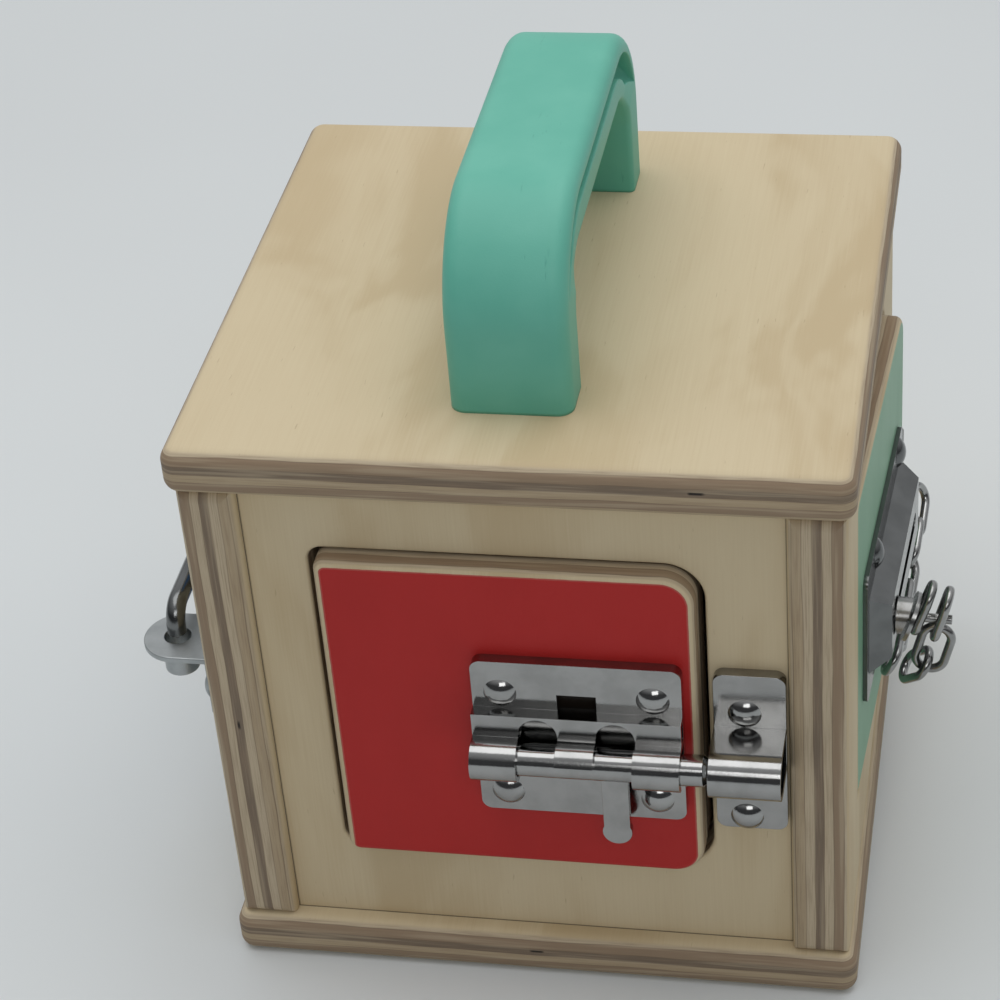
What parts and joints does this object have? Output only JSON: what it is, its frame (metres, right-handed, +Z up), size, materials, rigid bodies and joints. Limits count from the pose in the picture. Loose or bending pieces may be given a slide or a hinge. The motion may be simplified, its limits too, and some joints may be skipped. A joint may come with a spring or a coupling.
{
  "type": "wooden lock box busy board",
  "caption": "Plywood busy box with a carrying handle and a small door in each side, each held by a different lock: barrel bolt, door chain, cabin hook or turn button.",
  "frame": {"origin": "centre of the underside of the base, on the surface it stands on", "axes": "+Z up, +X to the right of the front, +Y to the back; the front, -Y, has the barrel bolt"},
  "size_m": [0.1977, 0.1798, 0.207],
  "materials": {
    "birch_plywood": "fine sanded bare birch-faced plywood, plies showing on the edges",
    "dowel_wood": "raw turned beech",
    "red_paint": "satin red paint on plywood",
    "green_paint": "satin green paint on plywood",
    "yellow_paint": "satin yellow paint on plywood",
    "blue_paint": "satin blue paint on plywood",
    "teal_plastic": "moulded, lightly scuffed",
    "bright_chrome": "bright plated",
    "nickel_plate": "satin nickel plated",
    "zinc_plate": "dull zinc plated",
    "pin_steel": "plain steel"
  },
  "bodies": {
    "root": {"base_panel": "birch_plywood", "base_dowels": "dowel_wood", "lid_panel": "birch_plywood", "lid_dowels": "dowel_wood", "left_wall": "birch_plywood", "right_wall": "birch_plywood", "front_panel": "birch_plywood", "back_panel": "birch_plywood", "handle": "teal_plastic", "handle_screws": "pin_steel", "handle_washers": "pin_steel", "front_hinge_pins": "pin_steel", "right_hinge_pins": "pin_steel", "back_hinge_pins": "pin_steel", "left_hinge_pins": "pin_steel", "strike_plate": "bright_chrome", "strike_screws": "bright_chrome", "chain_anchor": "nickel_plate", "chain_anchor_screws": "nickel_plate", "hook_eye_plate": "zinc_plate", "hook_eye_screws": "zinc_plate", "turn_button_plate": "zinc_plate", "turn_button_screws": "zinc_plate"},
    "front_door": {"front_door": "red_paint", "bolt_plate": "bright_chrome", "bolt_plate_screws": "bright_chrome"},
    "sliding_bolt": {"sliding_bolt": "bright_chrome"},
    "right_door": {"right_door": "green_paint", "chain_track": "nickel_plate", "chain_track_screws": "nickel_plate"},
    "chain_button": {"chain_button": "nickel_plate"},
    "chain_slack": {"chain_ring": "nickel_plate", "chain_link_01": "nickel_plate", "chain_link_02": "nickel_plate", "chain_link_03": "nickel_plate", "chain_link_04": "nickel_plate"},
    "chain_run": {"chain_link_05": "nickel_plate", "chain_link_06": "nickel_plate", "chain_link_07": "nickel_plate", "chain_link_08": "nickel_plate", "chain_link_09": "nickel_plate", "chain_link_10": "nickel_plate"},
    "left_door": {"left_door": "blue_paint", "hook_base": "zinc_plate", "hook_base_screws": "zinc_plate"},
    "cabin_hook": {"cabin_hook": "zinc_plate"},
    "back_door": {"back_door": "yellow_paint"},
    "turn_button": {"turn_button": "zinc_plate"}
  },
  "joints": [
    {"name": "front_door_hinge", "type": "hinge", "parent": "root", "child": "front_door", "pos_m": [-0.035, -0.0705, 0.0825], "axis": [0, 0, -1], "range_deg": [0, 100]},
    {"name": "bolt_slide", "type": "slide", "parent": "front_door", "child": "sliding_bolt", "axis": [1, 0, 0], "range_m": [-0.016, 0.0095]},
    {"name": "right_door_hinge", "type": "hinge", "parent": "root", "child": "right_door", "pos_m": [0.0705, -0.035, 0.0825], "axis": [0, 0, -1], "range_deg": [-3.4, 70]},
    {"name": "chain_button_slide", "type": "slide", "parent": "right_door", "child": "chain_button", "axis": [0.0593, 0.9982, 0], "range_m": [0, 0.038]},
    {"name": "chain_slack_swing", "type": "hinge", "parent": "chain_button", "child": "chain_slack", "pos_m": [0.09112, -0.02521, 0.079], "axis": [-0.9982, 0.0593, 0], "range_deg": [-15, 15]},
    {"name": "chain_run_swing", "type": "hinge", "parent": "right_door", "child": "chain_run", "pos_m": [0.08384, -0.01275, 0.0533], "axis": [-0.9982, 0.0593, 0], "range_deg": [0, 20]},
    {"name": "back_door_hinge", "type": "hinge", "parent": "root", "child": "back_door", "pos_m": [0.035, 0.0705, 0.0825], "axis": [0, 0, -1], "range_deg": [0, 100]},
    {"name": "turn_button_pivot", "type": "hinge", "parent": "root", "child": "turn_button", "pos_m": [-0.0555, 0.08, 0.0825], "axis": [0, 1, 0], "range_deg": [0, 90]},
    {"name": "left_door_hinge", "type": "hinge", "parent": "root", "child": "left_door", "pos_m": [-0.0705, 0.035, 0.0825], "axis": [0, 0, -1], "range_deg": [0, 100]},
    {"name": "cabin_hook_pivot", "type": "hinge", "parent": "left_door", "child": "cabin_hook", "pos_m": [-0.0885, -0.003, 0.099], "axis": [-1, 0, 0], "range_deg": [-4, 100]}
  ]
}
